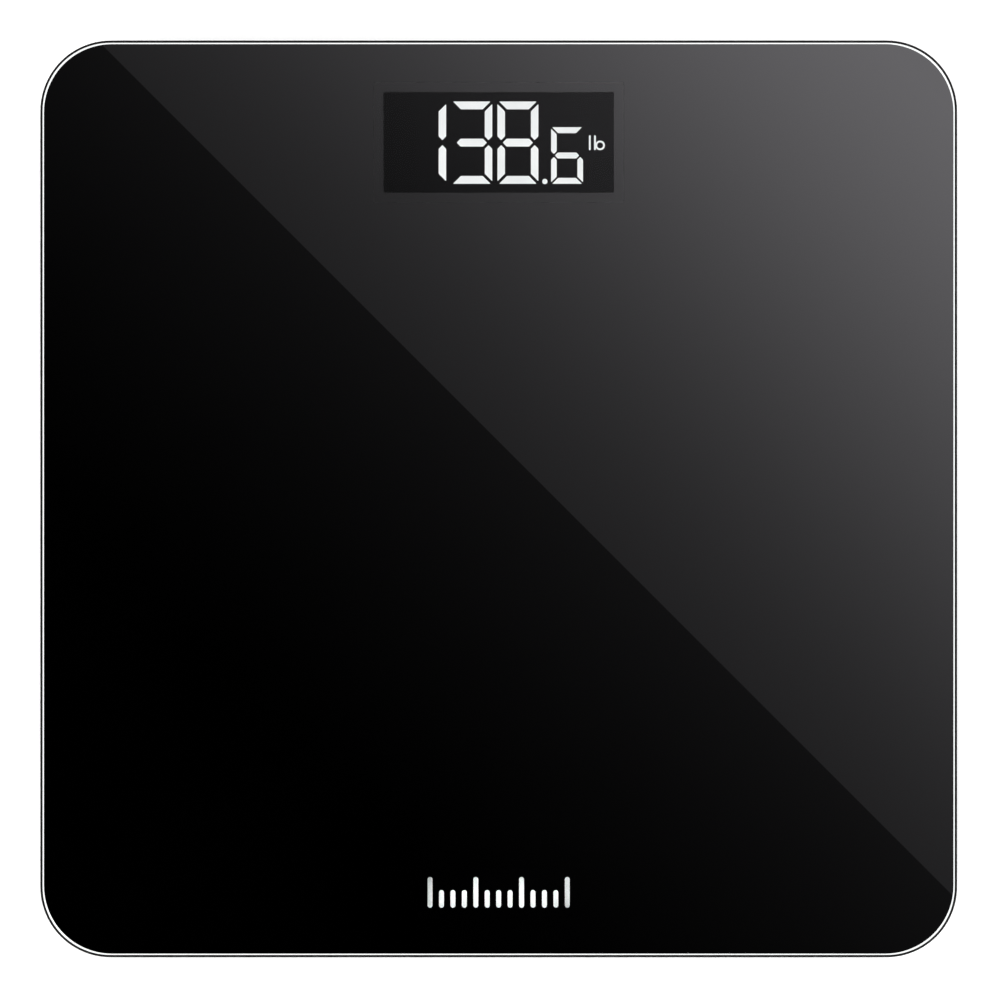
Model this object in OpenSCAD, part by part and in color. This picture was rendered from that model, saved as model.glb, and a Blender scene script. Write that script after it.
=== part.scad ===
// Digital bathroom scale: a tempered glass platform bonded to a moulded base
// that stands on four load-cell feet. Millimetres, +Z up. The origin is on the
// floor under the middle of the platform. +Y points to the display, "front" is
// the -Y side and "left" is the -X side.

/* [Platform] */
// Width of the square glass platform
platform_w = 280; // [276:1:300]
// Radius of the platform's corners, seen from above
corner_r = 21.5; // [18:0.5:28]
// Thickness of the tempered glass
glass_t = 6; // [5.5:0.5:6.5]
// Height of the standing surface above the floor
overall_h = 24; // [24:0.5:26]
// Width of the clear border between the glass edge and the black back print
print_margin = 0.7; // [0.5:0.1:2]
// Width of the ground edge round the top face: a pale facet inside a dark bevel
facet_w = 1.2; // [1:0.05:1.5]
// How much of the ground edge the dark bevel takes up
bevel_w = 0.8; // [0.5:0.05:0.85]

/* [Base] */
// How far the glass overhangs the moulded base
overhang = 6; // [5:0.5:8]
// Thickness of the base's outer wall
wall_t = 2.2; // [2:0.1:2.6]
// Thickness of the base's floor
floor_t = 2; // [1.8:0.1:2.2]
// Gap under the base that the feet leave
ground_gap = 3.5; // [3.5:0.1:4]
// Width of the bevel round the base's lower edge
skirt = 4; // [3:0.5:5]

/* [Feet] */
// Distance from the platform's edge to the middle of a foot
foot_inset = 38; // [37.5:0.5:42]
// Radius of a foot
foot_r = 22.8; // [20:0.1:22.8]
// Radius of the ball that a foot tilts on
ball_r = 3.2; // [3:0.1:3.4]
// Width of a square load cell
cell_w = 34; // [32:0.5:34]

/* [Display] */
// Width of the display window
window_w = 70.3; // [66:0.1:74]
// Depth of the display window
window_d = 30.7; // [29:0.1:32]
// Distance from the platform's rear edge to the middle of the window
window_inset = 31.2; // [30.8:0.1:34]

/* [Power] */
// Diameter of a battery
battery_d = 10.5; // [10:0.1:10.5]
// Length of a battery with its terminal
battery_l = 44.5; // [43.5:0.1:44.5]
// How many batteries lie side by side
battery_n = 3; // [3:1:3]

/* [Hidden] */
$fn = 64;
eps = 0.01;

// Heights of the layers, from the top down
glass_z = overall_h - glass_t;
bevel_h = 1.2;
facet_h = 0.25;
print_t = 0.1;
print_z = glass_z - print_t;
tape_t = 0.8;
tray_top = print_z - tape_t;
tray_z = ground_gap;
floor_top = tray_z + floor_t;

// The row of graduation ticks by the front edge
mark_inset = 19.6;
mark_step = 3.5;
mark_n = 12;
mark_every = 4;
mark_stroke = 1.5;
long_tick = 9.4;
short_tick = 5.4;

// The base
tray_w = platform_w - 2 * overhang;
tray_r = corner_r - overhang;
rib_t = 1.2;
ribs_below_top = 0.5;
rib_top = tray_top - ribs_below_top;
ring_rib_inset = 7;
tape_band = 9;

// The wells that the load cells sit in, one under each corner
well_x = platform_w / 2 - foot_inset;
well_r = 25.2;
well_wall = 2;
well_roof_z = tray_top - 1.5;
// Each corner: side in X, side in Y, and the turn from its own frame, where leads leave along +Y
CORNERS = [[-1, -1, 0], [1, -1, 0], [-1, 1, -90], [1, 1, 90]];
FRONT_LEFT = CORNERS[0];
FRONT_RIGHT = CORNERS[1];
REAR_LEFT = CORNERS[2];
REAR_RIGHT = CORNERS[3];

// A load cell and its stud
cell_t = 1.8;
cell_z = 12.2;
cell_top = cell_z + cell_t;
cell_corner_r = 4;
tongue_slot = 1.6;
stud_r = 1.9;
stud_flange_r = 4.5;
stud_flange_t = 0.8;
rivet_r = 3.2;
rivet_t = 0.6;
ball_z = 8;
potting_w = 9;
potting_t = 1.1;
potting_start = 3.6;
potting_end = 12;
cell_frame_w = 5.2;
cell_hole_r = 1.1;
cell_hole_inset = 3.4;
neck_w = 9.2;
tongue_top = 4;
seat_w = 5.4;
seat_d = 3.6;
cell_hook_w = 5;
cell_hook_t = 1.5;
cell_hook_z = 10.9;
cell_hook_reach = 1;

// A foot
pad_r = 19.5;
pad_t = 2.4;
pad_bevel = 0.6;
GROOVE_R = [6.5, 11, 15.5];
groove_w = 1;
groove_h = 0.6;
shell_z = 1.8;
shell_floor_z = 4;
shell_rim_z = 8.5;
shell_wall = 1.8;
shell_bevel = 1.2;
shell_rib_h = 3;
socket_gap = 0.06;
socket_r = 5.4;
socket_z = ball_z + 1.6;
socket_slit = 0.8;

// Wires
wire_r = 0.55;
wire_pitch = 1.6;
wire_bend = 2;
wire_low = floor_top + 0.75;
wire_high = cell_top + wire_r + 0.03;
// How far from the middle of a well its leads drop to the floor
lead_drop = well_r + well_wall + 2.4;
channel_w = 7;
channel_h = 2.6;

// The lattice of ribs, clear of the dropping leads
rib_pitch = (well_x - lead_drop - 2.4) / 2;

// The circuit board under the display
window_y = platform_w / 2 - window_inset;
board_w = 100;
board_y0 = window_y - 26.8;
board_y1 = board_y0 + 48;
board_t = 1.6;
board_z = 8;
board_top = board_z + board_t;
board_hole_r = 0.65;
boss_r = 3;
pilot_r = 1;
screw_x = 46;
SCREW_Y = [board_y0 + 10, board_y1 - 4];
front_lead_x = 44;
front_lead_turn_y = board_y0 - 22;
front_lead_end_y = board_y0 + 4;
rear_lead_end_x = 46;
chip_x = -14;
chip_r = 6.5;
chip_h = 1.2;
component_pitch = 4;
component_l = 2;
component_w = 1.25;
crystal = [3, 8, 1.4];
can_r = 2;
can_h = 1.8;
screw_head_r = 2.1;
screw_head_h = 1.3;
cross_l = 2.2;
cross_w = 0.5;

// The display, from the top down
gasket_w = 5;
lcd_w = 78;
lcd_d = 38;
polariser_t = 0.2;
polariser_top = print_z - 1;
lcd_sheet_t = 1.1;
lcd_front_z = polariser_top - polariser_t - lcd_sheet_t;
lcd_back_z = lcd_front_z - lcd_sheet_t;
lcd_back_d = 31.4;
rear_polariser_z = lcd_back_z - polariser_t;
guide_w = 70;
guide_d = 29;
guide_z = board_top + 1.2;
housing_w = 73;
housing_d = 31.2;
zebra_w = 70;
zebra_t = 1.8;
frame_w = 82;
frame_d = 42;
ledge_w = 75.4;
ledge_d = 36;
lcd_back_w = ledge_w - 0.4;
led_w = 3.5;
LED_X = [-26, 0, 26];

// The reading. Everything in X is measured from the middle of the window.
segment_t = 0.05;
digit_y = -12.33;
digit_w = 12.53;
digit_h = 25.19;
digit_t = 2.29;
level_bar_extra = 0.1;
digit_side_gap = 0.53;
digit_end_gap = 0.78;
digit_pitch = 14.12;
first_digit_x = -28.62;
point_x = 14.14;
point_y = 0.7;
point_r = 0.8;
small_x = 16.05;
small_w = 9.75;
small_h = 17.31;
small_t = 1.7;
small_side_gap = 0.34;
small_end_gap = 0.47;
unit_x = 27.9;
unit_y = 10.29;
unit_h = 4.54;
unit_stroke = 0.56;
unit_step = 1.57;
bowl_r = 1.47;

// The battery bay, with its cover in the underside
cell_pitch = battery_d + 0.7;
bay_y = board_y0 - 25;
bay_half_l = 26.5;
bay_half_d = (battery_n * cell_pitch + 0.8) / 2;
bay_wall = 1.5;
stop_x = 6;
battery_axis_z = floor_top + battery_d / 2;
bay_roof_z = battery_axis_z + battery_d / 2 + 0.1;
plate_t = 0.4;
plate_h = 8.4;
tab_z = 13.2;
tab_l = 3.9;
tab_w = 3;
nub_h = 0.8;
nub_r = 1.9;
nub_end = bay_half_l - plate_t - 0.02;
spring_wire = 0.35;
spring_sides = 6;
spring_rings = 12;
spring_turns = 5;
spring_r = 3.8;
spring_tip_r = 2.3;
battery_lead_x = bay_half_l + 3;
battery_lead_end_y = board_y0 + 2.6;
cover_t = 1.8;
cover_gap = 0.2;
cover_half_w = bay_half_l - cover_gap;
hinge_r = floor_t / 2;
hinge_y = bay_y - bay_half_d - 1.3;
hinge_z = tray_z + hinge_r;
hook_gap = 0.25;
hook_t = 1.1;
cover_y0 = hinge_y + hinge_r + cover_gap;
bay_y0 = hinge_y - hinge_r - hook_gap - hook_t - 0.25;
bay_y1 = bay_y + bay_half_d;
cover_y1 = bay_y1 - cover_gap;
HOOK_X = [-16, 16];
hook_w = 7;
latch_w = 14;
latch_reach = 0.8;
nib_h = 1.2;
slit_w = 0.8;
slit_l = 8;
cover_rib_l = 44;
cover_rib_h = 1.4;
grip_n = 5;
grip_pitch = 1.6;
grip_l = 16;
grip_t = 0.7;
grip_h = 0.3;
scoop_r = 8;
scoop_offset = 3.5;
scoop_depth = 1.3;

// The unit button and the switch that it presses
button_x = 24;
button_y = board_y0 + 18;
button_r = 5.2;
button_gap = 0.3;
button_wall = 0.7;
button_rim_w = 3;
button_lip = 1.5;
button_lip_t = 0.6;
dish_r = 8;
button_rim_h = 0.35;
switch_w = 6;
switch_z = 6.5;
plunger_r = 1.75;
plunger_z = 5.8;
switch_travel = 0.5;

// ---------------------------------------------------------------- shared shapes

// A slab with round corners. profile lists [inset, z] up its edge.
module rounded_slab(w, d, r, profile) {
    n = len(profile);
    for (side = [[w, d, 0], [d, w, 90]])
        rotate(side[2]) rotate([90, 0, 90])
            linear_extrude(side[0] - 2 * r, center = true)
                polygon(concat(
                    [for (p = profile) [side[1] / 2 - p[0], p[1]]],
                    [for (i = [n - 1:-1:0]) [profile[i][0] - side[1] / 2, profile[i][1]]]));
    for (x = [-1, 1], y = [-1, 1])
        translate([x * (w / 2 - r), y * (d / 2 - r), 0])
            rotate_extrude()
                polygon(concat([[0, profile[0][1]]],
                    [for (p = profile) [r - p[0], p[1]]],
                    [[0, profile[n - 1][1]]]));
}

// The 2-D outline of a rectangle with round corners
module rounded_rect(w, d, r) {
    square([w - 2 * r, d], center = true);
    square([w, d - 2 * r], center = true);
    for (x = [-1, 1], y = [-1, 1])
        translate([x * (w / 2 - r), y * (d / 2 - r)]) circle(r);
}

module box(w, d, z0, z1) {
    translate([-w / 2, -d / 2, z0]) cube([w, d, z1 - z0]);
}

// A box ring, open through the middle
module box_ring(outer, inner, z0, z1) {
    difference() {
        box(outer[0], outer[1], z0, z1);
        box(inner[0], inner[1], z0 - 1, z1 + 1);
    }
}

module at_corner(c) {
    translate([c[0] * well_x, c[1] * well_x, 0]) rotate(c[2]) children();
}

function unit(v) = v / norm(v);
function columns(a, b, c, origin) = [
    [a[0], b[0], c[0], origin[0]],
    [a[1], b[1], c[1], origin[1]],
    [a[2], b[2], c[2], origin[2]]];

// A round wire through points: straight runs, with a quarter ring of wire_bend at each corner
module wire(points) {
    last = len(points) - 1;
    for (i = [0:last - 1]) {
        along = unit(points[i + 1] - points[i]);
        from = points[i] + (i > 0 ? wire_bend : 0) * along;
        to = points[i + 1] - (i < last - 1 ? wire_bend : 0) * along;
        side = abs(along[2]) > 0.5 ? [1, 0, 0] : [0, 0, 1];
        multmatrix(columns(side, cross(along, side), along, from))
            cylinder(r = wire_r, h = norm(to - from));
    }
    for (i = [1:last - 1]) {
        before = unit(points[i] - points[i - 1]);
        after = unit(points[i + 1] - points[i]);
        centre = points[i] + wire_bend * (after - before);
        multmatrix(columns(-after, before, cross(-after, before), centre))
            rotate_extrude(angle = 90) translate([wire_bend, 0]) circle(wire_r, $fn = 24);
    }
}

// ---------------------------------------------------------------- platform

// The tempered plate. A narrow ground facet rings the top face, and a steeper bevel rings the facet.
module glass_platform() {
    color("#181a1c") rounded_slab(platform_w, platform_w, corner_r,
        [[bevel_w, glass_z], [0, glass_z + bevel_w], [0, overall_h - bevel_h],
         [bevel_w, overall_h - facet_h], [facet_w, overall_h]]);
}

module window_cut(grow, z0, z1) {
    translate([0, window_y, 0]) box(window_w + 2 * grow, window_d + 2 * grow, z0, z1);
}

// An upright stroke with round ends, standing on the X axis
module stroke(w, h) {
    translate([-w / 2, w / 2]) square([w, h - w]);
    for (y = [w / 2, h - w / 2]) translate([0, y]) circle(w / 2);
}

// A short row of graduation ticks, long ones at the ends and at every fourth place
module mark_ticks(z0, z1) {
    for (i = [0:mark_n])
        translate([(i - mark_n / 2) * mark_step, mark_inset - platform_w / 2 - long_tick / 2, z0])
            linear_extrude(z1 - z0)
                stroke(mark_stroke, i % mark_every == 0 ? long_tick : short_tick);
}

module back_print() {
    color("#050505") difference() {
        rounded_slab(platform_w - 2 * print_margin, platform_w - 2 * print_margin,
            corner_r - print_margin, [[0, print_z], [0, glass_z]]);
        window_cut(0, print_z - 1, glass_z + 1);
        mark_ticks(print_z - 1, glass_z + 1);
    }
}

module platform_mark() {
    color("white") mark_ticks(print_z, glass_z);
}

// Foam tape: a band round the base's rim and a disc on each well
module bonding_tape() {
    outer = tray_w - 1;
    color("#303234") difference() {
        union() {
            difference() {
                rounded_slab(outer, outer, tray_r - 0.5, [[0, tray_top], [0, print_z]]);
                rounded_slab(outer - 2 * tape_band, outer - 2 * tape_band, 6.5,
                    [[0, tray_top - 1], [0, print_z + 1]]);
            }
            for (c = CORNERS) at_corner(c)
                translate([0, 0, tray_top]) cylinder(r = well_r - 2, h = tape_t);
        }
        translate([0, window_y, 0]) box(frame_w + 3, frame_d + 3, tray_top - 1, print_z + 1);
    }
}

// ---------------------------------------------------------------- base

module tray_shell() {
    difference() {
        rounded_slab(tray_w, tray_w, tray_r,
            [[skirt, tray_z], [0, tray_z + skirt], [0, tray_top]]);
        rounded_slab(tray_w - 2 * wall_t, tray_w - 2 * wall_t, tray_r - wall_t,
            [[skirt, floor_top], [0, floor_top + skirt], [0, tray_top + 1]]);
    }
}

// The lattice that carries the glass, and the inner ring under the tape
module tray_ribs() {
    inner_w = tray_w - 2 * wall_t - 2 * skirt;
    ring_w = tray_w - 2 * ring_rib_inset;
    for (i = [-2:2])
        translate([i * rib_pitch, 0, 0]) box(rib_t, inner_w, floor_top - eps, rib_top);
    for (i = [-2:1])
        translate([0, i * rib_pitch, 0]) box(inner_w, rib_t, floor_top - eps, rib_top);
    intersection() {
        box_ring([ring_w + rib_t, ring_w + rib_t], [ring_w - rib_t, ring_w - rib_t],
            floor_top - eps, tray_top);
        rounded_slab(ring_w + rib_t, ring_w + rib_t, tray_r, [[0, tray_z], [0, tray_top + 1]]);
    }
}

// Room for the board and for the battery bay
module tray_keep_out() {
    board_room_y0 = board_y0 - 3;
    translate([0, (board_room_y0 + tray_w / 2) / 2, 0])
        box(board_w + 6, tray_w / 2 - board_room_y0, floor_top - 1, tray_top + 1);
    translate([0, (bay_y0 + bay_y1) / 2, 0])
        box(2 * bay_half_l + 1, bay_y1 - bay_y0 + 1, floor_top - 1, tray_top + 1);
}

// Walls and a roof round the batteries, with two ribs that the first battery lies against
module battery_bay() {
    inner = [2 * bay_half_l, bay_y1 - bay_y0];
    outer = inner + 2 * bay_wall * [1, 1];
    stop_y = bay_y - bay_half_d + 0.4;
    translate([0, (bay_y0 + bay_y1) / 2, 0]) {
        box_ring(outer, inner, floor_top - eps, bay_roof_z + eps);
        box(outer[0], outer[1], bay_roof_z, tray_top);
    }
    for (x = [-stop_x, stop_x]) translate([x, (bay_y0 + stop_y) / 2, 0])
        box(rib_t, stop_y - bay_y0 + eps, floor_top + 1.5, bay_roof_z + eps);
}

// A slot over the floor, along a straight run of leads
module channel(from, to) {
    run = to - from;
    translate((from + to) / 2)
        box(abs(run[0]) + channel_w, abs(run[1]) + channel_w, floor_top + 0.1, floor_top + channel_h);
}

// Slots for the leads where they cross ribs and the walls of the wells
module lead_channels() {
    first_rib = 2 * rib_pitch;
    for (s = [-1, 1]) {
        channel([s * well_x, -first_rib], [s * well_x, front_lead_turn_y]);
        channel([s * well_x, front_lead_turn_y], [s * front_lead_x, front_lead_turn_y]);
        channel([s * front_lead_x, front_lead_turn_y], [s * front_lead_x, front_lead_end_y]);
        channel([s * first_rib, well_x], [s * rear_lead_end_x, well_x]);
    }
    for (c = CORNERS) at_corner(c) translate([0, well_r + 1, 0])
        box(channel_w - 1, 5, cell_top - 0.6, wire_high + wire_r + 0.4);
}

// Pads that a load cell's frame bears on, and the hooks that hold it up to them
module cell_seat() {
    hook_top = cell_z - 0.1;
    for (turn = [0:90:270]) rotate(turn) {
        for (x = [-1, 1]) translate([x * (cell_w / 2 - cell_hole_inset), cell_w / 2 - 2.4, 0])
            box(seat_w, seat_d, cell_top, well_roof_z + eps);
        if (turn != 0) translate([-cell_hook_w / 2, cell_w / 2 + 0.15, 0]) {
            translate([0, 0, cell_hook_z])
                cube([cell_hook_w, cell_hook_t, well_roof_z - cell_hook_z + eps]);
            rotate([90, 0, 90]) linear_extrude(cell_hook_w)
                polygon([[eps, cell_hook_z], [-cell_hook_reach, hook_top], [eps, hook_top]]);
        }
    }
}

// The way in to the batteries, with a pocket that the cover's latch snaps into
module cover_opening() {
    translate([-bay_half_l, hinge_y, tray_z - 1]) cube([2 * bay_half_l, bay_y1 - hinge_y, floor_t + 2]);
    translate([0, bay_y1, 0])
        box(latch_w + 1, 2 * (latch_reach + 0.15), tray_z - 1, floor_top + 1.4);
}

// A scoop in the underside, for the finger that pulls the latch
module finger_notch() {
    translate([0, bay_y1 + scoop_offset, tray_z + scoop_depth - scoop_r]) rotate([0, 90, 0])
        cylinder(r = scoop_r, h = latch_w + 4, center = true);
}

module base_tray() {
    color("#1c1d1f") difference() {
        union() {
            tray_shell();
            difference() {
                tray_ribs();
                tray_keep_out();
            }
            battery_bay();
            for (c = CORNERS) at_corner(c) translate([0, 0, tray_z])
                cylinder(r = well_r + well_wall, h = tray_top - tray_z);
            for (x = [-screw_x, screw_x], y = SCREW_Y) translate([x, y, floor_top - eps])
                cylinder(r = boss_r, h = board_z - floor_top + eps);
            translate([button_x, button_y, floor_top - eps])
                cylinder(r = button_r + button_rim_w, h = button_rim_h + eps);
        }
        for (c = CORNERS) at_corner(c) translate([0, 0, tray_z - 1])
            cylinder(r = well_r, h = well_roof_z - tray_z + 1);
        for (x = [-screw_x, screw_x], y = SCREW_Y) translate([x, y, floor_top - 1])
            cylinder(r = pilot_r, h = 5);
        translate([button_x, button_y, tray_z - 1]) cylinder(r = button_r + button_gap, h = 4);
        cover_opening();
        finger_notch();
        lead_channels();
        for (s = [-1, 1]) translate([s * (bay_half_l + bay_wall / 2), bay_y - s * cell_pitch, 0])
            box(bay_wall + 1, tab_w + 0.6, tab_z - 0.2, tab_z + plate_t + 0.2);
    }
    color("#1c1d1f") {
        for (c = CORNERS) at_corner(c) cell_seat();
        // The round nose that the cover's hooks turn on
        translate([0, hinge_y, hinge_z]) rotate([0, 90, 0])
            cylinder(r = hinge_r, h = 2 * bay_half_l, center = true);
    }
}

module battery_cover() {
    top = tray_z + cover_t;
    nib_w = latch_w - 3;
    color("#1c1d1f") difference() {
        union() {
            translate([0, (cover_y0 + cover_y1) / 2, 0])
                box(2 * cover_half_w, cover_y1 - cover_y0, tray_z, top);
            for (i = [-0.5, 0.5]) translate([0, bay_y + i * cell_pitch, 0])
                box(cover_rib_l, rib_t, top - eps, top + cover_rib_h);
            for (x = HOOK_X) translate([x, 0, 0]) cover_hook();
            translate([0, cover_y1 - nib_h / 2, 0]) box(nib_w, nib_h, top - eps, top + nib_h);
            translate([0, cover_y1 + (latch_reach + cover_gap) / 2 - eps, 0])
                box(nib_w, latch_reach + cover_gap, tray_z + 0.5, top + nib_h);
            for (i = [0:grip_n - 1]) translate([0, cover_y1 - 5 - grip_pitch * i, 0])
                box(grip_l - 2 * i, grip_t, tray_z - grip_h, tray_z + eps);
        }
        for (s = [-1, 1]) translate([s * latch_w / 2, cover_y1 - slit_l / 2, 0])
            box(slit_w, slit_l + eps, tray_z - 1, top + 2);
    }
}

// A hook that rises from the cover and curls over the nose: a part ring round the hinge line
module cover_hook() {
    inner = hinge_r + hook_gap;
    translate([-hook_w / 2, hinge_y, hinge_z]) rotate([90, 0, 90])
        rotate_extrude(angle = 120) translate([inner, 0]) square([hook_t, hook_w]);
    translate([-hook_w / 2, hinge_y + inner, hinge_z - 0.3]) cube([hook_w, 1.4, 1.1]);
}

// A dished cap, with a lip that keeps it in the base and a recess that clears the switch
module unit_button() {
    lip_z = floor_top + button_rim_h + 0.05;
    color("#2c2e31") translate([button_x, button_y, 0]) difference() {
        union() {
            rotate_extrude() polygon([[0, tray_z + 0.1], [button_r - 0.5, tray_z + 0.1],
                [button_r, tray_z + 0.6], [button_r, lip_z + 0.1], [0, lip_z + 0.1]]);
            translate([0, 0, lip_z]) cylinder(r = button_r + button_lip, h = button_lip_t);
        }
        translate([0, 0, plunger_z]) cylinder(r = button_r - button_wall, h = 3);
        translate([0, 0, tray_z + 0.9 - dish_r]) sphere(r = dish_r);
    }
}

// ---------------------------------------------------------------- display

module display_gasket() {
    color("#222426") translate([0, window_y, 0])
        box_ring([window_w + gasket_w * 2, window_d + gasket_w * 2],
            [window_w + 1, window_d + 1], polariser_top, print_z);
}

module front_polariser() {
    color("#101112") translate([0, window_y, 0])
        box(lcd_w - 1, lcd_d - 1, polariser_top - polariser_t, polariser_top - 0.05);
}

// One mitred bar of a digit, by its letter in the usual seven-segment order. side is the gap beside
// the level bars, which are a little thicker, and end the gap at the ends of the upright ones.
function bar_points(letter, w, h, t, side, end) =
    let (m = h / 2, level_t = t + level_bar_extra)
    letter == "a" ? [[side, h], [w - side, h], [w - side - level_t, h - level_t],
        [side + level_t, h - level_t]] :
    letter == "d" ? [for (p = bar_points("a", w, h, t, side, end)) [p[0], h - p[1]]] :
    letter == "g" ? [[t / 2 + side, m], [t + side, m + level_t / 2], [w - t - side, m + level_t / 2],
        [w - t / 2 - side, m], [w - t - side, m - level_t / 2], [t + side, m - level_t / 2]] :
    letter == "f" ? [[0, h - end], [t, h - t - end], [t, m + t / 2 + end], [t / 2, m + end],
        [0, m + t / 2 + end]] :
    letter == "e" ? [for (p = bar_points("f", w, h, t, side, end)) [p[0], h - p[1]]] :
    letter == "b" ? [for (p = bar_points("f", w, h, t, side, end)) [w - p[0], p[1]]] :
    [for (p = bar_points("f", w, h, t, side, end)) [w - p[0], h - p[1]]];

module tall_digit(place, letters) {
    translate([first_digit_x + place * digit_pitch, 0]) for (letter = letters)
        polygon(bar_points(letter, digit_w, digit_h, digit_t, digit_side_gap, digit_end_gap));
}

module small_digit(letters) {
    translate([small_x, 0]) for (letter = letters)
        polygon(bar_points(letter, small_w, small_h, small_t, small_side_gap, small_end_gap));
}

// The unit: two uprights, the second with a bowl
module unit_sign() {
    for (x = [0, unit_step]) translate([x, 0]) stroke(unit_stroke, unit_h);
    translate([2 * unit_step, bowl_r]) difference() {
        circle(bowl_r);
        circle(bowl_r - unit_stroke);
    }
}

// The lit reading, up from the foot of its digits
module reading() {
    tall_digit(0, ["b", "c"]);
    tall_digit(1, ["a", "b", "c", "d", "g"]);
    tall_digit(2, ["a", "b", "c", "d", "e", "f", "g"]);
    translate([point_x, point_y]) circle(point_r);
    small_digit(["a", "c", "d", "e", "f", "g"]);
    translate([unit_x, unit_y]) unit_sign();
}

module lit_segments() {
    color("white") translate([0, window_y + digit_y, polariser_top - 0.04])
        linear_extrude(segment_t) reading();
}

module lcd_front_glass() {
    color("#202224") translate([0, window_y, 0])
        box(lcd_w, lcd_d, lcd_front_z, lcd_front_z + lcd_sheet_t);
}

module lcd_back_glass() {
    color("#202224") translate([0, window_y, 0])
        box(lcd_back_w, lcd_back_d, lcd_back_z, lcd_back_z + lcd_sheet_t);
}

module rear_polariser() {
    color("#3a3c40") translate([0, window_y, 0])
        box(lcd_back_w - 1, lcd_back_d - 1, rear_polariser_z, rear_polariser_z + polariser_t);
}

module light_guide() {
    color("#e8ecf0") translate([0, window_y, 0]) difference() {
        box(guide_w, guide_d, guide_z, rear_polariser_z - 0.1);
        for (x = LED_X) translate([x, guide_d / 2, 0])
            box(led_w + 0.9, 3.4, guide_z - 1, guide_z + 1.6);
    }
}

module backlight_housing() {
    color("white") translate([0, window_y, 0]) difference() {
        box(housing_w, housing_d, board_top, rear_polariser_z - 0.6);
        box(guide_w + 0.2, guide_d + 0.2, guide_z - 0.1, rear_polariser_z + 1);
    }
}

module backlight_leds() {
    color("#f4e9b0") for (x = LED_X)
        translate([x, window_y + guide_d / 2 - 0.8, guide_z]) box(led_w, 1.5, 0, 1.4);
}

module zebra_strips() {
    color("#c9706a") for (s = [-1, 1])
        translate([0, window_y + s * (ledge_d / 2 - zebra_t / 2 - 0.1), 0])
            box(zebra_w, zebra_t, board_top, lcd_front_z);
}

module display_frame() {
    color("#dfe2e4") translate([0, window_y, 0]) {
        box_ring([frame_w, frame_d], [lcd_w + 0.4, lcd_d + 0.4], lcd_front_z - eps, polariser_top - 0.1);
        box_ring([frame_w, frame_d], [ledge_w, ledge_d], board_top, lcd_front_z);
    }
}

// ---------------------------------------------------------------- electronics

function lead_offsets() = [-wire_pitch, 0, wire_pitch];
// Where each wire meets the board
function wire_ends() = concat(
    [for (s = [-1, 1], o = lead_offsets()) [s * front_lead_x + o, front_lead_end_y]],
    [for (s = [-1, 1], o = lead_offsets()) [s * rear_lead_end_x, well_x + o]],
    [for (s = [-1, 1]) [s * battery_lead_x, battery_lead_end_y]]);

module circuit_board() {
    color("#1f6b3a") difference() {
        translate([0, (board_y0 + board_y1) / 2, board_z])
            linear_extrude(board_t) rounded_rect(board_w, board_y1 - board_y0, 2);
        for (x = [-screw_x, screw_x], y = SCREW_Y) translate([x, y, board_z - 1])
            cylinder(r = 1.3, h = board_t + 2);
        for (p = wire_ends()) translate([p[0], p[1], board_z - 1])
            cylinder(r = board_hole_r, h = board_t + 2);
    }
}

module solder_joints() {
    color("#c8ccd0") for (p = wire_ends())
        translate([p[0], p[1], board_top]) cylinder(r1 = 0.78, r2 = 0.4, h = 0.6);
}

// A blob of resin over the chip, on the underside of the board
module controller_chip() {
    color("#0d0d0e") translate([chip_x, board_y0 + 22, board_z - chip_h])
        cylinder(r1 = chip_r - 1.5, r2 = chip_r, h = chip_h);
}

// A row of n small components on the underside of the board
module component_row(n, x, y, h) {
    for (i = [0:n - 1]) translate([x + component_pitch * i, y, 0])
        box(component_l, component_w, -h, 0);
}

// Two rows of resistors and capacitors, a crystal and two round capacitors
module small_components() {
    color("#b9a27c") translate([0, board_y0, board_z]) {
        component_row(7, -30, 8, 0.6);
        component_row(5, 2, 36, 0.8);
        translate([-32, 30, 0]) box(crystal[0], crystal[1], -crystal[2], 0);
        for (x = [36, -38]) translate([x, 36, -can_h]) cylinder(r = can_r, h = can_h);
    }
}

module board_screws() {
    color("#a9adb2") for (x = [-screw_x, screw_x], y = SCREW_Y) translate([x, y, 0])
        difference() {
            union() {
                translate([0, 0, board_top])
                    cylinder(r1 = screw_head_r, r2 = screw_head_r - 0.5, h = screw_head_h);
                translate([0, 0, floor_top]) cylinder(r = pilot_r - 0.02, h = board_top - floor_top + eps);
            }
            for (turn = [0, 90]) rotate(turn)
                box(cross_l, cross_w, board_top + screw_head_h / 2, board_top + 2);
        }
}

module switch_case() {
    color("#2a2a2c") translate([button_x, button_y, 0]) difference() {
        box(switch_w, switch_w, switch_z, board_z);
        translate([0, 0, switch_z - 1]) cylinder(r = plunger_r + 0.08, h = 1.8);
    }
}

module switch_plunger() {
    color("#e2ddd0") translate([button_x, button_y, plunger_z])
        cylinder(r = plunger_r, h = switch_z + 0.2 - plunger_z);
}

// ---------------------------------------------------------------- power

// Battery i: odd ones face the other way
function battery_y(i) = bay_y + (i - 1) * cell_pitch;
function battery_turn(i) = i == 1 ? 180 : 0;

module battery(i) {
    r = battery_d / 2;
    body = battery_l - nub_h;
    color(i == 1 ? "#c9862b" : "#caa05a") translate([0, battery_y(i), battery_axis_z])
        rotate(battery_turn(i)) translate([nub_end - battery_l, 0, 0]) rotate([0, 90, 0])
            rotate_extrude() polygon([[0, 0], [r - 0.9, 0], [r - 0.9, 0.25], [r - 0.4, 0.25],
                [r, 0.7], [r, body - 0.7], [r - 0.5, body - 0.1], [r - 1, body],
                [nub_r, body], [nub_r, battery_l - 0.2], [nub_r - 0.2, battery_l], [0, battery_l]]);
}

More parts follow.
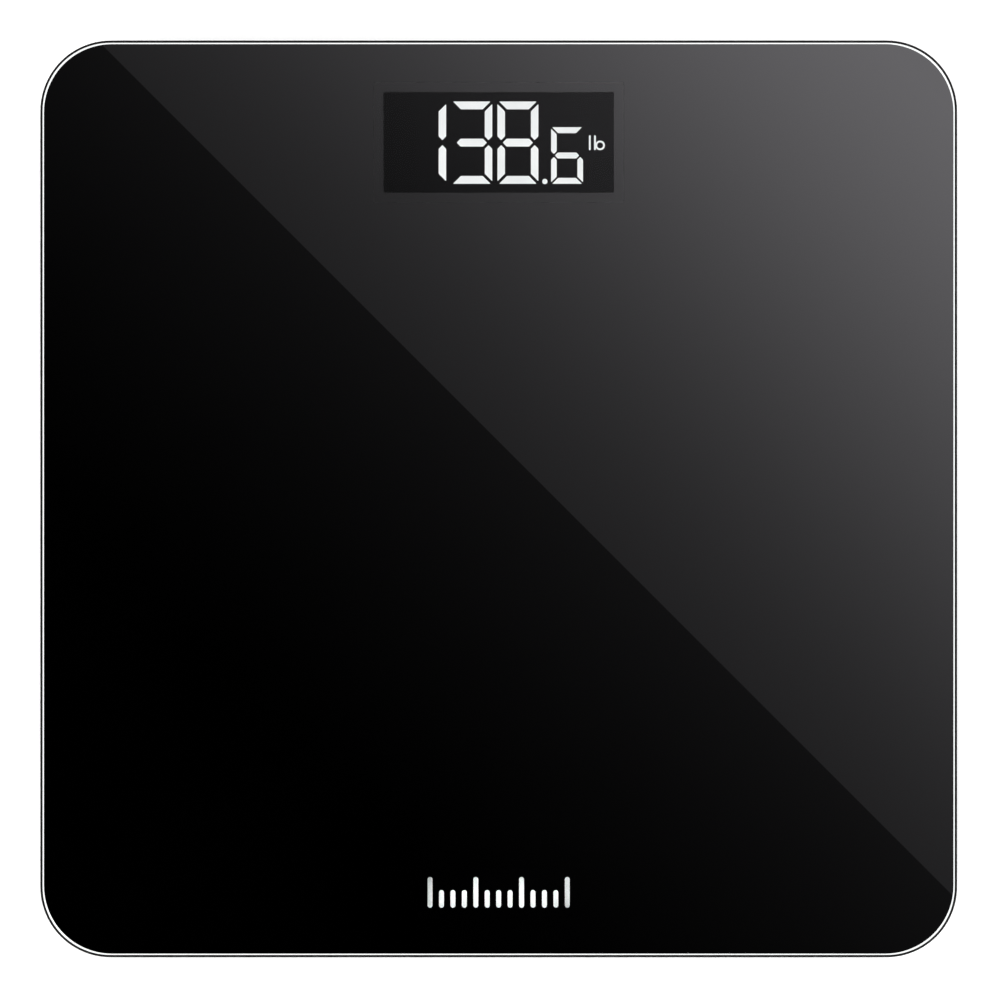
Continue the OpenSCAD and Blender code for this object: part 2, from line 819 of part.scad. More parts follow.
// A conical coil spring standing on z = 0: a tube swept along a helix
module contact_spring(r1, r2, h, turns) {
    steps = turns * spring_rings;
    centre = function (k) let (a = 360 * k / spring_rings, s = k / steps, r = r1 + (r2 - r1) * s)
        [r * cos(a), r * sin(a), spring_wire + (h - 2 * spring_wire) * s];
    points = [for (k = [0:steps]) let (a = 360 * k / spring_rings, c = centre(k))
        for (j = [0:spring_sides - 1]) let (b = 360 * j / spring_sides)
            c + spring_wire * [cos(b) * cos(a), cos(b) * sin(a), sin(b)]];
    skin = [for (k = [0:steps - 1], j = [0:spring_sides - 1])
        let (a = k * spring_sides + j, b = k * spring_sides + (j + 1) % spring_sides)
            each [[a, a + spring_sides, b + spring_sides], [a, b + spring_sides, b]]];
    ends = [[for (j = [0:spring_sides - 1]) j],
        [for (j = [spring_sides - 1:-1:0]) steps * spring_sides + j]];
    polyhedron(points, concat(skin, ends), convexity = 8);
}

module contact_springs() {
    length = 2 * (bay_half_l - plate_t) - battery_l;
    color("#d5d8dc") for (i = [0:battery_n - 1]) translate([0, battery_y(i), battery_axis_z])
        rotate(battery_turn(i)) translate([plate_t + 0.03 - bay_half_l, 0, 0]) rotate([0, 90, 0])
            contact_spring(spring_r, spring_tip_r, length - 0.1, spring_turns);
}

// Plates on the bay's end walls: single ones with a solder tab, and ones that link two batteries
module contact_plates() {
    half = plate_h / 2;
    color("#d5d8dc") for (s = [-1, 1]) {
        x = s > 0 ? bay_half_l - plate_t : -bay_half_l;
        single_y = battery_y(s > 0 ? 0 : 2);
        linked_y = bay_y + s * cell_pitch / 2;
        translate([x, single_y - half, battery_axis_z - half]) cube([plate_t, plate_h, plate_h]);
        translate([x + (s > 0 ? 0 : plate_t - tab_l), single_y - tab_w / 2, tab_z])
            cube([tab_l, tab_w, plate_t]);
        translate([x, linked_y - half - cell_pitch / 2, battery_axis_z - half])
            cube([plate_t, plate_h + cell_pitch, plate_h]);
    }
}

module battery_lead(s) {
    y = battery_y(s > 0 ? 0 : 2);
    x = s * battery_lead_x;
    wire([[x, y, tab_z - 0.02], [x, y, wire_low], [x, battery_lead_end_y, wire_low],
        [x, battery_lead_end_y, board_top - 0.02]]);
}

// ---------------------------------------------------------------- load cells and feet

// The stamped plate: a frame with a T-shaped tongue, whose neck carries the strain gauge
module load_cell(c) {
    inner = cell_w / 2 - cell_frame_w;
    color("#b4b7bb") at_corner(c) translate([0, 0, cell_z]) linear_extrude(cell_t) difference() {
        rounded_rect(cell_w, cell_w, cell_corner_r);
        difference() {
            square(2 * inner, center = true);
            translate([-neck_w / 2, 0]) square([neck_w, inner + 1]);
            translate([tongue_slot - inner, tongue_slot - inner])
                square([2 * (inner - tongue_slot), inner - tongue_slot + tongue_top]);
        }
        circle(stud_r + 0.04);
        for (x = [-1, 1], y = [-1, 1])
            translate([x, y] * (cell_w / 2 - cell_hole_inset)) circle(cell_hole_r);
    }
}

module gauge_potting(c) {
    color("#f2f2ee") at_corner(c)
        translate([0, (potting_start + potting_end) / 2, cell_top]) linear_extrude(potting_t)
            rounded_rect(potting_w, potting_end - potting_start, 2);
}

// Three wires: out of the well, down to the base's floor and along it to the board
module sensor_lead(c) {
    s = c[0];
    color("#c0392b") for (o = lead_offsets()) {
        if (c[1] < 0) {
            x = s * well_x + o;
            down_y = lead_drop - well_x;
            turn_y = front_lead_turn_y + s * o;
            end_x = s * front_lead_x + o;
            wire([[x, potting_end - well_x, wire_high], [x, down_y, wire_high], [x, down_y, wire_low],
                [x, turn_y, wire_low], [end_x, turn_y, wire_low], [end_x, front_lead_end_y, wire_low],
                [end_x, front_lead_end_y, board_top - 0.02]]);
        } else {
            y = well_x + o;
            down_x = s * (well_x - lead_drop);
            end_x = s * rear_lead_end_x;
            wire([[s * (well_x - potting_end), y, wire_high], [down_x, y, wire_high],
                [down_x, y, wire_low], [end_x, y, wire_low], [end_x, y, board_top - 0.02]]);
        }
    }
}

// The stud riveted to the tongue, with the ball that the foot snaps on
module ball_stud(c) {
    color("#c3c7cb") at_corner(c) {
        translate([0, 0, ball_z]) sphere(r = ball_r);
        translate([0, 0, ball_z]) cylinder(r = stud_r, h = cell_top + 0.1 - ball_z);
        translate([0, 0, cell_z - stud_flange_t]) cylinder(r = stud_flange_r, h = stud_flange_t);
        translate([0, 0, cell_top]) cylinder(r1 = rivet_r, r2 = rivet_r - 0.5, h = rivet_t);
    }
}

module foot_shell(c) {
    color("#242628") at_corner(c) difference() {
        union() {
            rotate_extrude() polygon([[0, shell_z], [foot_r - shell_bevel, shell_z],
                [foot_r, shell_z + shell_bevel],
                [foot_r, shell_rim_z], [foot_r - shell_wall, shell_rim_z],
                [foot_r - shell_wall, shell_floor_z], [0, shell_floor_z]]);
            translate([0, 0, shell_floor_z - eps]) cylinder(r = socket_r, h = socket_z - shell_floor_z);
            for (turn = [22.5:45:337.5]) rotate(turn)
                translate([socket_r - 0.5, -rib_t / 2, shell_floor_z - eps])
                    cube([foot_r - shell_wall - socket_r + 1, rib_t, shell_rib_h]);
        }
        translate([0, 0, ball_z]) sphere(r = ball_r + socket_gap);
        translate([0, 0, shell_z - 1]) cylinder(r = pad_r + 0.05, h = pad_t - shell_z + 1);
        for (turn = [0, 90]) rotate(turn)
            box(2 * socket_r + 1, socket_slit, ball_z - 1.6, socket_z + 1);
    }
}

module foot_pad(c) {
    color("#3a3c3e") at_corner(c) rotate_extrude() difference() {
        polygon([[0, 0], [pad_r - pad_bevel, 0], [pad_r, pad_bevel], [pad_r, pad_t], [0, pad_t]]);
        for (r = GROOVE_R) translate([r, -1]) square([groove_w, 1 + groove_h]);
    }
}

// ---------------------------------------------------------------- nodes

glass_platform();
back_print();
platform_mark();
bonding_tape();
base_tray();
display_gasket();
front_polariser();
lit_segments();
lcd_front_glass();
lcd_back_glass();
rear_polariser();
light_guide();
backlight_housing();
backlight_leds();
zebra_strips();
display_frame();
circuit_board();
controller_chip();
small_components();
solder_joints();
board_screws();
switch_case();
switch_plunger();
unit_button();
battery_cover();
battery(0);  // battery_1
battery(1);  // battery_2
battery(2);  // battery_3
contact_springs();
contact_plates();
color("#b3261e") battery_lead(1);  // battery_lead_red
color("#161616") battery_lead(-1);  // battery_lead_black
load_cell(FRONT_LEFT);  // load_cell_front_left
load_cell(FRONT_RIGHT);  // load_cell_front_right
load_cell(REAR_LEFT);  // load_cell_rear_left
load_cell(REAR_RIGHT);  // load_cell_rear_right
gauge_potting(FRONT_LEFT);  // gauge_potting_front_left
gauge_potting(FRONT_RIGHT);  // gauge_potting_front_right
gauge_potting(REAR_LEFT);  // gauge_potting_rear_left
gauge_potting(REAR_RIGHT);  // gauge_potting_rear_right
sensor_lead(FRONT_LEFT);  // sensor_lead_front_left
sensor_lead(FRONT_RIGHT);  // sensor_lead_front_right
sensor_lead(REAR_LEFT);  // sensor_lead_rear_left
sensor_lead(REAR_RIGHT);  // sensor_lead_rear_right
ball_stud(FRONT_LEFT);  // ball_stud_front_left
ball_stud(FRONT_RIGHT);  // ball_stud_front_right
ball_stud(REAR_LEFT);  // ball_stud_rear_left
ball_stud(REAR_RIGHT);  // ball_stud_rear_right
foot_shell(FRONT_LEFT);  // foot_shell_front_left
foot_shell(FRONT_RIGHT);  // foot_shell_front_right
foot_shell(REAR_LEFT);  // foot_shell_rear_left
foot_shell(REAR_RIGHT);  // foot_shell_rear_right
foot_pad(FRONT_LEFT);  // foot_pad_front_left
foot_pad(FRONT_RIGHT);  // foot_pad_front_right
foot_pad(REAR_LEFT);  // foot_pad_rear_left
foot_pad(REAR_RIGHT);  // foot_pad_rear_right
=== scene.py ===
"""Looks for the bathroom scale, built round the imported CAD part. Metres, in the part's own frame."""
import math

import bmesh
import bpy
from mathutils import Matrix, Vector


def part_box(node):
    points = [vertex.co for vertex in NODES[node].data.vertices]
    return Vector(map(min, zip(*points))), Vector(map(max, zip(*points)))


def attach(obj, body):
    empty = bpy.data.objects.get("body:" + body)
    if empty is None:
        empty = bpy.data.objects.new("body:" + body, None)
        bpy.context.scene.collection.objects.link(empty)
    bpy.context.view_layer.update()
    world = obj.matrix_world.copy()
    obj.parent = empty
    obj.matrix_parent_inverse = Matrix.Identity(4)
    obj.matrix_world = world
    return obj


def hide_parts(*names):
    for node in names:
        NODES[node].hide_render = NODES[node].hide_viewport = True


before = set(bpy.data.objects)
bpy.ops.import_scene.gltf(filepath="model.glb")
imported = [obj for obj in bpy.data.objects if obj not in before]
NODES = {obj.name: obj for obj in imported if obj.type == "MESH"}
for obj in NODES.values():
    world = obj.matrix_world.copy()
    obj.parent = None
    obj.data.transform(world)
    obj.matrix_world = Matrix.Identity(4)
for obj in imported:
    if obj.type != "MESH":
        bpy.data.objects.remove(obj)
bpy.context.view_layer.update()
MM = 0.001
CORNERS = ("front_left", "front_right", "rear_left", "rear_right")

# ---------------------------------------------------------------- sizes, from the frame

GLASS_LOW, GLASS_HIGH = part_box("glass_platform")
PLATFORM_W = GLASS_HIGH.x - GLASS_LOW.x
PLATFORM_TOP = GLASS_HIGH.z
CORNER_R = 21.5 * MM
# The ground edge round the top face: a dark bevel, and inside it a pale facet. The facet is wider at
# the corners, where its inner line has this much more radius.
# The bevel's black is painted shade, standing in for the dark that a clear glass edge shows.
BEVEL_W, BEVEL_H = 0.8 * MM, 1.2 * MM
FACET_W, FACET_H = 1.2 * MM, 0.25 * MM
FACET_ROUNDING = 0.5 * MM
# The gasket's width round the window, and how far the clear glass reaches past the window
GASKET_W = 5 * MM
PANE_MARGIN = 3 * MM
# How far the plate's back lies behind the print's face
BEHIND_PRINT = 0.05 * MM

# ---------------------------------------------------------------- node helpers


def new_material(name):
    """A material with an empty node tree, and the tree."""
    material = bpy.data.materials.new(name)
    material.use_nodes = True
    tree = material.node_tree
    tree.nodes.clear()
    return material, tree


def add(tree, kind, properties=None, **inputs):
    """Adds a node. An input is a value, or the socket of another node to link from."""
    node = tree.nodes.new(kind)
    for key, value in (properties or {}).items():
        setattr(node, key, value)
    for key, value in inputs.items():
        index = int(key[1:]) if key.startswith("_") else key.replace("_", " ")
        if isinstance(value, bpy.types.NodeSocket):
            tree.links.new(value, node.inputs[index])
        else:
            node.inputs[index].default_value = value
    return node


def maths(tree, operation, a, b=0.0, c=0.0):
    """One step of arithmetic on sockets or values."""
    return add(tree, "ShaderNodeMath", {"operation": operation}, _0=a, _1=b, _2=c).outputs[0]


def place(tree):
    """Where a point lies on the piece, in metres."""
    return add(tree, "ShaderNodeTexCoord").outputs["Object"]


def place_parts(tree):
    """The same, as separate X, Y and Z sockets."""
    return add(tree, "ShaderNodeSeparateXYZ", Vector=place(tree)).outputs


def stretched(tree, scale):
    """The same, stretched along the axes whose scale is under 1."""
    return add(tree, "ShaderNodeMapping", Vector=place(tree), Scale=scale).outputs[0]


def facing_parts(tree):
    """The way the surface faces, as separate X, Y and Z sockets."""
    facing = add(tree, "ShaderNodeNewGeometry").outputs["True Normal"]
    return add(tree, "ShaderNodeSeparateXYZ", Vector=facing).outputs


def noise(tree, size, detail=2.0, roughness=0.5, vector=None):
    """Noise from 0 to 1 whose blobs are about size metres across."""
    node = add(
        tree,
        "ShaderNodeTexNoise",
        Vector=vector or place(tree),
        Scale=1 / size,
        Detail=detail,
        Roughness=roughness,
    )
    return node.outputs["Fac"]


def cells(tree, size):
    """How far a point is from the middle of its cell, in cells about size metres across."""
    return add(tree, "ShaderNodeTexVoronoi", Vector=place(tree), Scale=1 / size).outputs["Distance"]


def spread(tree, value, low, high, from_low=0.3, from_high=0.7):
    """Maps a value from one range onto another."""
    node = add(
        tree,
        "ShaderNodeMapRange",
        Value=value,
        From_Min=from_low,
        From_Max=from_high,
        To_Min=low,
        To_Max=high,
    )
    return node.outputs["Result"]


def blend_colours(tree, share, first, second):
    """The first colour at a share of 0, the second at 1. Each is a triple or another node's socket."""
    ends = {}
    for key, colour in (("A", first), ("B", second)):
        ends[key] = colour if isinstance(colour, bpy.types.NodeSocket) else (*colour, 1)
    node = add(tree, "ShaderNodeMix", {"data_type": "RGBA"}, **ends)
    for socket in node.inputs:
        if socket.name == "Factor" and socket.type == "VALUE":
            tree.links.new(share, socket)
    return node.outputs["Result"]


def bump(tree, height, depth):
    """A normal from a height of 0 to 1 that stands for depth metres."""
    return add(tree, "ShaderNodeBump", Height=height, Strength=1.0, Distance=depth).outputs["Normal"]


def stripes(tree, along, pitch, duty):
    """1 on stripes that repeat every pitch metres and fill the share duty of it, else 0."""
    phase = maths(tree, "FRACT", maths(tree, "DIVIDE", along, pitch))
    return maths(tree, "LESS_THAN", phase, duty)


def principled(material, tree, **inputs):
    """Finishes a material whose only shader is a Principled one."""
    shader = add(tree, "ShaderNodeBsdfPrincipled", **inputs)
    return finish_material(material, tree, shader.outputs[0])


def finish_material(material, tree, shader):
    """Makes a shader the material's surface."""
    output = add(tree, "ShaderNodeOutputMaterial")
    tree.links.new(shader, output.inputs["Surface"])
    return material


def mottled(tree, pattern, dark, light):
    """A colour that follows a noise pattern, from dark to light."""
    return blend_colours(tree, spread(tree, pattern, 0, 1), dark, light)


# ---------------------------------------------------------------- shared kinds of material


def grained(name, dark, light, grain, depth, rough):
    """A moulded or painted surface: slow colour drift, fine grain in the bump and in the roughness."""
    material, tree = new_material(name)
    drift = noise(tree, 40 * MM, 3)
    speckle = noise(tree, grain, 3, 0.6)
    scuffs = noise(tree, 3 * MM, 5, 0.7, stretched(tree, (1, 0.25, 1)))
    polished = spread(tree, scuffs, 0.0, -0.12, 0.58, 0.72)
    return principled(
        material,
        tree,
        Base_Color=mottled(tree, drift, dark, light),
        Roughness=maths(tree, "ADD", spread(tree, speckle, *rough), polished),
        Normal=bump(tree, speckle, depth),
    )


def metal(name, dark, light, rough, streak):
    """Bare or plated metal, cloudy, with fine streaks along X."""
    material, tree = new_material(name)
    lines = noise(tree, streak, 3, 0.6, stretched(tree, (0.08, 1, 1)))
    cloud = noise(tree, 6 * MM, 3)
    return principled(
        material,
        tree,
        Base_Color=mottled(tree, cloud, dark, light),
        Metallic=1.0,
        Roughness=spread(tree, lines, *rough),
        Normal=bump(tree, lines, 0.006 * MM),
    )


def sheathed(name, dark, light):
    """Glossy wire sheath, a little uneven along its length."""
    material, tree = new_material(name)
    drift = noise(tree, 3 * MM, 3)
    return principled(
        material,
        tree,
        Base_Color=mottled(tree, drift, dark, light),
        Roughness=spread(tree, drift, 0.28, 0.42),
        Normal=bump(tree, noise(tree, 0.8 * MM), 0.02 * MM),
        Coat_Weight=0.2,
    )


def clear(name, tint, ior, rough, cell, cell_depth):
    """Clear glass or acrylic with a faint pattern. Lamps shine through it."""
    material, tree = new_material(name)
    shader = add(
        tree,
        "ShaderNodeBsdfPrincipled",
        Base_Color=(*tint, 1),
        Roughness=spread(tree, noise(tree, 8 * MM, 3), *rough),
        IOR=ior,
        Transmission_Weight=1.0,
        Normal=bump(tree, cells(tree, cell), cell_depth),
    )
    return lamps_through(material, tree, shader.outputs[0], tint)


def lamps_through(material, tree, shader, tint):
    """Lets light from the lamps pass straight through a clear shader."""
    open_to_lamps = add(tree, "ShaderNodeBsdfTransparent", Color=(*tint, 1))
    to_lamp = add(tree, "ShaderNodeLightPath").outputs["Is Shadow Ray"]
    mixed = add(tree, "ShaderNodeMixShader", _0=to_lamp, _1=shader, _2=open_to_lamps.outputs[0])
    return finish_material(material, tree, mixed.outputs[0])


# ---------------------------------------------------------------- the platform's materials

GLASS_IOR = 1.33
GLASS_TINT = (0.94, 0.98, 0.97)
# The print behind the glass mirrors too. The glass carries its share, as a coat.
PRINT_IOR = 1.55


def mirrored(ior):
    """The share of light that a smooth surface mirrors straight back."""
    return ((ior - 1) / (ior + 1)) ** 2


PLATE_MIRRORS = mirrored(PRINT_IOR) + (1 - mirrored(PRINT_IOR)) * mirrored(GLASS_IOR)


def black_glass_material():
    """The plate where nothing but black print lies behind it, with the faintest smears."""
    material, tree = new_material("platform_black")
    smear = noise(tree, 55 * MM, 4, 0.6)
    return principled(
        material,
        tree,
        Base_Color=mottled(tree, smear, (0.0, 0.0, 0.0), (0.0001, 0.0001, 0.0001)),
        Roughness=spread(tree, smear, 0.0, 0.012, 0.5, 0.75),
        IOR=GLASS_IOR,
        Coat_Weight=1.0,
        Coat_IOR=PRINT_IOR,
        Coat_Roughness=0.0,
    )


def glass_material(name, mirror_of_print):
    """Clear plate glass. A share of 1 mirrors as much as the black print round it."""
    material, tree = new_material(name)
    smear = noise(tree, 55 * MM, 4, 0.6)
    shader = add(
        tree,
        "ShaderNodeBsdfPrincipled",
        Base_Color=(*GLASS_TINT, 1),
        Roughness=spread(tree, smear, 0.0, 0.012, 0.5, 0.75),
        IOR=GLASS_IOR,
        Transmission_Weight=1.0,
        Coat_Weight=mirror_of_print,
        Coat_IOR=PRINT_IOR,
        Coat_Roughness=0.0,
    )
    return lamps_through(material, tree, shader.outputs[0], GLASS_TINT)


def glass_back_material():
    """The back of the plate, bonded to what lies behind it, so that it mirrors nothing."""
    material, tree = new_material("platform_glass_back")
    haze = spread(tree, noise(tree, 30 * MM), 0.985, 1.0)
    bonded = add(tree, "ShaderNodeBsdfTransparent", Color=haze)
    return finish_material(material, tree, bonded.outputs[0])


def ground_facet_material():
    """Ground glass: white, with fine marks of the grinding wheel."""
    material, tree = new_material("ground_facet")
    marks = noise(tree, 0.12 * MM, 4, 0.7)
    return principled(
        material,
        tree,
        Base_Color=mottled(tree, marks, (0.56, 0.57, 0.57), (0.64, 0.65, 0.65)),
        Roughness=spread(tree, marks, 0.35, 0.6),
        Normal=bump(tree, marks, 0.01 * MM),
    )


def ground_side_material():
    """The plate's ground side wall, dark green from the black print that shows through it."""
    material, tree = new_material("ground_side")
    marks = noise(tree, 0.5 * MM, 4, 0.65)
    cloud = noise(tree, 30 * MM, 3)
    return principled(
        material,
        tree,
        Base_Color=mottled(tree, cloud, (0.006, 0.011, 0.01), (0.012, 0.02, 0.018)),
        Roughness=spread(tree, marks, 0.26, 0.4),
        Normal=bump(tree, marks, 0.008 * MM),
    )


def dark_bevel_material():
    """The polished bevel outside the facet, which looks black against the print. Painted shade: the
    clear glass edge is coloured black and mirrors little, standing in for the dark its refraction
    shows.
    """
    material, tree = new_material("shade_painted_bevel")
    marks = noise(tree, 0.5 * MM, 3)
    return principled(
        material,
        tree,
        Base_Color=mottled(tree, marks, (0.0, 0.0, 0.0), (0.002, 0.002, 0.002)),
        Roughness=spread(tree, marks, 0.3, 0.4),
        Specular_IOR_Level=0.05,
    )


def black_print_material():
    """Black print on the back of the glass. The glass takes its gloss above; below it's satin paint."""
    material, tree = new_material("back_print_black")
    cloud = noise(tree, 18 * MM, 4)
    underneath = maths(tree, "LESS_THAN", facing_parts(tree)[2], -0.5)
    behind_glass = mottled(tree, cloud, (0.0, 0.0, 0.0), (0.0003, 0.0003, 0.0004))
    paint_side = mottled(tree, cloud, (0.008, 0.008, 0.009), (0.014, 0.014, 0.015))
    return principled(
        material,
        tree,
        Base_Color=blend_colours(tree, underneath, behind_glass, paint_side),
        Roughness=spread(tree, cloud, 0.3, 0.4),
        Specular_IOR_Level=maths(tree, "MULTIPLY", underneath, 0.5),
    )


def white_print_material():
    """White ink on the back of the glass, a little thinner in places."""
    material, tree = new_material("white_print")
    mottle = noise(tree, 0.6 * MM, 3)
    return principled(
        material,
        tree,
        Base_Color=mottled(tree, mottle, (0.78, 0.78, 0.78), (0.85, 0.85, 0.85)),
        Roughness=spread(tree, mottle, 0.4, 0.55),
        Normal=bump(tree, mottle, 0.004 * MM),
    )


# ---------------------------------------------------------------- the display's materials


def segment_material():
    """Lit white segments, a little uneven as backlights are."""
    material, tree = new_material("lit_segments_white")
    drift = noise(tree, 12 * MM, 2)
    return principled(
        material,
        tree,
        Base_Color=(0.02, 0.02, 0.02, 1),
        Roughness=0.6,
        Specular_IOR_Level=0.0,
        Emission_Color=mottled(tree, drift, (0.82, 0.83, 0.84), (0.92, 0.92, 0.92)),
        Emission_Strength=1.0,
    )


def polariser_material():
    """Dark film, nearly black, with a faint cloud in it."""
    material, tree = new_material("polariser_film")
    cloud = noise(tree, 9 * MM, 4)
    colour = mottled(tree, cloud, (0.0001, 0.0001, 0.0001), (0.0005, 0.0005, 0.0006))
    return principled(
        material,
        tree,
        Base_Color=colour,
        Roughness=spread(tree, cloud, 0.55, 0.7),
        Specular_IOR_Level=0.0,
    )


def zebra_material():
    """Pink silicone with the fine carbon lines that carry the panel's signals."""
    material, tree = new_material("zebra_rubber")
    lines = stripes(tree, place_parts(tree)[0], 0.2 * MM, 0.5)
    return principled(
        material,
        tree,
        Base_Color=blend_colours(tree, lines, (0.72, 0.42, 0.38), (0.05, 0.04, 0.04)),
        Roughness=spread(tree, noise(tree, 1 * MM), 0.6, 0.8),
        Normal=bump(tree, lines, 0.02 * MM),
    )


def guide_material():
    """Acrylic with a pattern of white dots that throw its light forward."""
    material, tree = new_material("light_guide")
    dots = maths(tree, "LESS_THAN", cells(tree, 1.2 * MM), 0.3)
    return principled(
        material,
        tree,
        Base_Color=blend_colours(tree, dots, (0.78, 0.84, 0.86), (0.97, 0.97, 0.97)),
        Roughness=spread(tree, dots, 0.12, 0.5, 0, 1),
        Transmission_Weight=0.3,
    )


def led_material():
    """A pale case round a yellow phosphor."""
    material, tree = new_material("led")
    phosphor = maths(tree, "LESS_THAN", cells(tree, 2 * MM), 0.4)
    return principled(
        material,
        tree,
        Base_Color=blend_colours(tree, phosphor, (0.9, 0.88, 0.82), (0.95, 0.74, 0.16)),
        Roughness=spread(tree, noise(tree, 0.4 * MM), 0.25, 0.4),
    )


# ---------------------------------------------------------------- electronics and power


def board_material():
    """Green solder mask over copper tracks, which show as paler raised lines."""
    material, tree = new_material("board")
    x, y = place_parts(tree)[:2]
    blocks = noise(tree, 14 * MM, 1)
    along_x = stripes(tree, y, 1.27 * MM, 0.32)
    along_y = stripes(tree, x, 1.27 * MM, 0.32)
    turned = maths(tree, "GREATER_THAN", blocks, 0.5)
    tracks = maths(
        tree,
        "ADD",
        maths(tree, "MULTIPLY", along_x, turned),
        maths(tree, "MULTIPLY", along_y, maths(tree, "SUBTRACT", 1.0, turned)),
    )
    return principled(
        material,
        tree,
        Base_Color=blend_colours(tree, tracks, (0.012, 0.11, 0.04), (0.03, 0.22, 0.08)),
        Roughness=spread(tree, noise(tree, 0.9 * MM), 0.22, 0.36),
        Normal=bump(tree, tracks, 0.03 * MM),
    )


def component_material():
    """Ceramic bodies with tinned ends, by where each lies in its row."""
    material, tree = new_material("components")
    pitch = 4 * MM
    offset = maths(tree, "ABSOLUTE", maths(tree, "WRAP", place_parts(tree)[0], pitch / 2, -pitch / 2))
    ends = maths(tree, "GREATER_THAN", offset, 1.3 * MM)
    mottle = noise(tree, 0.3 * MM)
    ceramic = mottled(tree, mottle, (0.24, 0.17, 0.1), (0.34, 0.25, 0.16))
    return principled(
        material,
        tree,
        Base_Color=blend_colours(tree, ends, ceramic, (0.75, 0.76, 0.78)),
        Metallic=ends,
        Roughness=spread(tree, mottle, 0.25, 0.5),
    )


def battery_material():
    """A printed sleeve, black with a copper shoulder band, between bare steel ends."""
    material, tree = new_material("battery_sleeve")
    x = place_parts(tree)[0]
    end_face = maths(tree, "GREATER_THAN", maths(tree, "ABSOLUTE", facing_parts(tree)[0]), 0.6)
    band = maths(tree, "GREATER_THAN", maths(tree, "ABSOLUTE", x), 12 * MM)
    print_grain = noise(tree, 0.25 * MM, 3)
    black = mottled(tree, print_grain, (0.012, 0.012, 0.014), (0.03, 0.03, 0.032))
    sleeve = blend_colours(tree, band, black, (0.52, 0.22, 0.07))
    return principled(
        material,
        tree,
        Base_Color=blend_colours(tree, end_face, sleeve, (0.62, 0.63, 0.65)),
        Metallic=maths(tree, "MAXIMUM", end_face, maths(tree, "MULTIPLY", band, 0.8)),
        Roughness=spread(tree, print_grain, 0.24, 0.4),
        Coat_Weight=0.3,
    )


# ---------------------------------------------------------------- soft parts


def foam_material():
    """Closed-cell foam: small round cells, each darker towards its middle where it is cut open, as
    painted shade in the open pores.
    """
    material, tree = new_material("foam")
    pores = cells(tree, 0.45 * MM)
    # Painted shade: the colour darkens towards each cell's middle, as shade in its pit.
    pore_painted_shade = spread(tree, pores, 0, 1, 0, 0.8)
    return principled(
        material,
        tree,
        Base_Color=blend_colours(tree, pore_painted_shade, (0.012, 0.012, 0.013), (0.035, 0.035, 0.037)),
        Roughness=spread(tree, pores, 0.85, 0.98, 0, 1),
        Normal=bump(tree, pores, 0.12 * MM),
    )


def silicone_material():
    """A poured white blob, slightly see-through and soft-edged."""
    material, tree = new_material("silicone")
    flow = noise(tree, 2.5 * MM, 2)
    return principled(
        material,
        tree,
        Base_Color=mottled(tree, flow, (0.78, 0.78, 0.74), (0.88, 0.88, 0.85)),
        Roughness=spread(tree, flow, 0.3, 0.45),
        Subsurface_Weight=0.2,
        Subsurface_Scale=1.5 * MM,
        Normal=bump(tree, flow, 0.25 * MM),
    )


def sole_rubber_material():
    """Moulded rubber with a stipple of small pits, dusty in patches."""
    material, tree = new_material("foot_rubber")
    pits = cells(tree, 0.9 * MM)
    dust = noise(tree, 5 * MM, 4, 0.65)
    dusty = spread(tree, dust, 0, 1, 0.4, 0.75)
    return principled(
        material,
        tree,
        Base_Color=blend_colours(tree, dusty, (0.028, 0.029, 0.031), (0.075, 0.075, 0.074)),
        Roughness=spread(tree, dust, 0.62, 0.82),
        Normal=bump(tree, spread(tree, pits, 0, 1, 0.1, 0.5), 0.06 * MM),
    )


# ---------------------------------------------------------------- giving the CAD nodes their materials


def everywhere(*prefixes):
    """The names of a sub-part's four copies, one at each corner."""
    return [f"{prefix}_{corner}" for prefix in prefixes for corner in CORNERS]


def paint(material, *names):
    """Gives CAD nodes a material."""
    for name in names:
        for slot in NODES[name].material_slots:
            slot.material = material


def soften(width, *names):
    """Rounds the hard edges of CAD nodes a little, as moulds and presses do."""
    for name in names:
        weld = NODES[name].modifiers.new("weld", "WELD")
        weld.merge_threshold = 0.001 * MM
        bevel = NODES[name].modifiers.new("soft_edges", "BEVEL")
        bevel.width = width
        bevel.segments = 2
        bevel.limit_method = "ANGLE"
        bevel.angle_limit = math.radians(30)
        bevel.harden_normals = True


def blunt_tips(name, radius):
    """Rounds only the sharp tips of a flat shape."""
    weld = NODES[name].modifiers.new("weld", "WELD")
    weld.merge_threshold = 0.001 * MM
    bevel = NODES[name].modifiers.new("blunt_tips", "BEVEL")
    bevel.width = radius
    bevel.segments = 3
    bevel.limit_method = "ANGLE"
    bevel.angle_limit = math.radians(110)


